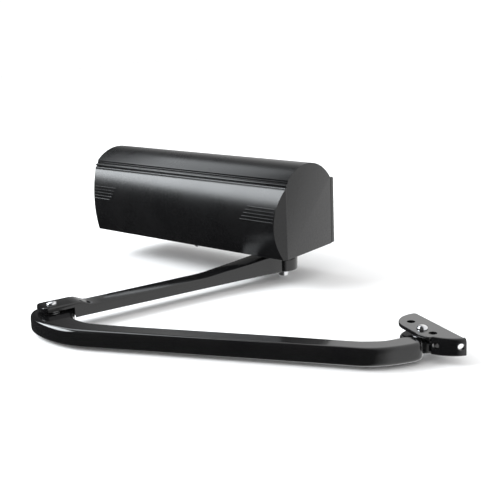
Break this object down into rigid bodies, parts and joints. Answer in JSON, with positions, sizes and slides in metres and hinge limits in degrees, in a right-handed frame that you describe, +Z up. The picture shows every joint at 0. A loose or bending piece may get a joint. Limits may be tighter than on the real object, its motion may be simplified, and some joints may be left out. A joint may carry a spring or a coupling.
{
  "type": "door closer",
  "caption": "Surface door closer: a black covered rack and pinion body on a mounting plate, with a main arm, a forearm and a half-round shoe with a turned-down flange.",
  "frame": {"origin": "middle of the mounting plate's rear face, which sits on the door", "axes": "+X along the cover to the spindle's end, +Y into the door, +Z up along the spindle, away from the arms"},
  "size_m": [0.5285, 0.329, 0.1288],
  "materials": {
    "black_plastic": "satin black moulded plastic",
    "black_enamel": "deep gloss black enamel",
    "bare_steel": "machined and oiled",
    "spring_steel": "dark oiled spring wire",
    "zinc": "bright zinc plate",
    "cast_metal": "dark painted casting",
    "brass": "turned",
    "rubber": "matt"
  },
  "bodies": {
    "housing": {"cover": "black_plastic", "back_plate": "black_enamel", "cover_bracket": "zinc", "bracket_screw": "zinc", "cover_screw": "zinc", "closer_body": "cast_metal", "left_plug": "bare_steel", "right_plug": "bare_steel", "left_plug_seal": "rubber", "right_plug_seal": "rubber", "closing_spring": "spring_steel", "lower_bearing": "bare_steel", "upper_bearing": "bare_steel", "lower_seal": "rubber", "upper_seal": "rubber", "lower_cap": "brass", "upper_cap": "brass", "body_bolt_1": "zinc", "body_bolt_2": "zinc", "body_bolt_3": "zinc", "body_bolt_4": "zinc"},
    "spindle_arm": {"pinion_shaft": "bare_steel", "main_arm": "black_enamel", "arm_screw": "zinc", "arm_washer": "zinc", "elbow_rivet": "zinc", "elbow_washer": "zinc", "elbow_end_washer": "zinc"},
    "piston": {"rack_piston": "bare_steel", "piston_ring": "rubber"},
    "forearm": {"forearm": "black_enamel"},
    "shoe": {"shoe_bracket": "black_enamel", "shoe_rivet": "zinc", "shoe_washer": "zinc", "shoe_end_washer": "zinc"},
    "sweep_valve": {"sweep_valve": "brass", "sweep_seal": "rubber"},
    "latch_valve": {"latch_valve": "brass", "latch_seal": "rubber"},
    "backcheck_valve": {"backcheck_valve": "brass", "backcheck_seal": "rubber"},
    "power_screw": {"power_screw": "zinc"},
    "spring_seat": {"spring_seat": "bare_steel"}
  },
  "joints": [
    {"name": "spindle", "type": "hinge", "parent": "housing", "child": "spindle_arm", "pos_m": [0.104, -0.0434, -0.0366], "axis": [0, 0, 1], "range_deg": [0, 105], "stiffness_Nm_per_rad": 8, "springref_deg": -11.46},
    {"name": "piston_slide", "type": "slide", "parent": "housing", "child": "piston", "axis": [1, 0, 0], "range_m": [-0.0138, 0], "deforming": ["closing_spring"]},
    {"name": "elbow", "type": "hinge", "parent": "spindle_arm", "child": "forearm", "pos_m": [0.02341, -0.299, -0.0366], "axis": [0, 0, 1], "range_deg": [-130, 5]},
    {"name": "shoe_pivot", "type": "hinge", "parent": "forearm", "child": "shoe", "pos_m": [0.3435, -0.1664, -0.0366], "axis": [0, 0, 1], "range_deg": [-12, 150]},
    {"name": "sweep_turn", "type": "hinge", "parent": "housing", "child": "sweep_valve", "pos_m": [-0.031, -0.076, 0.0004], "axis": [0, -1, 0], "range_deg": [-180, 180]},
    {"name": "latch_turn", "type": "hinge", "parent": "housing", "child": "latch_valve", "pos_m": [-0.011, -0.076, 0.0004], "axis": [0, -1, 0], "range_deg": [-180, 180]},
    {"name": "backcheck_turn", "type": "hinge", "parent": "housing", "child": "backcheck_valve", "pos_m": [0.041, -0.076, 0.0004], "axis": [0, -1, 0], "range_deg": [-180, 180]},
    {"name": "power_turn", "type": "hinge", "parent": "housing", "child": "power_screw", "pos_m": [-0.129, -0.0434, 0.0004], "axis": [1, 0, 0], "range_deg": [0, 720]},
    {"name": "seat_slide", "type": "slide", "parent": "housing", "child": "spring_seat", "axis": [1, 0, 0], "range_m": [0, 0.0025]}
  ],
  "couplings": [
    {"joint": "piston_slide", "follows": "spindle", "m_per_rad": -0.0075},
    {"joint": "power_turn", "follows": "seat_slide", "rad_per_m": 5000}
  ]
}
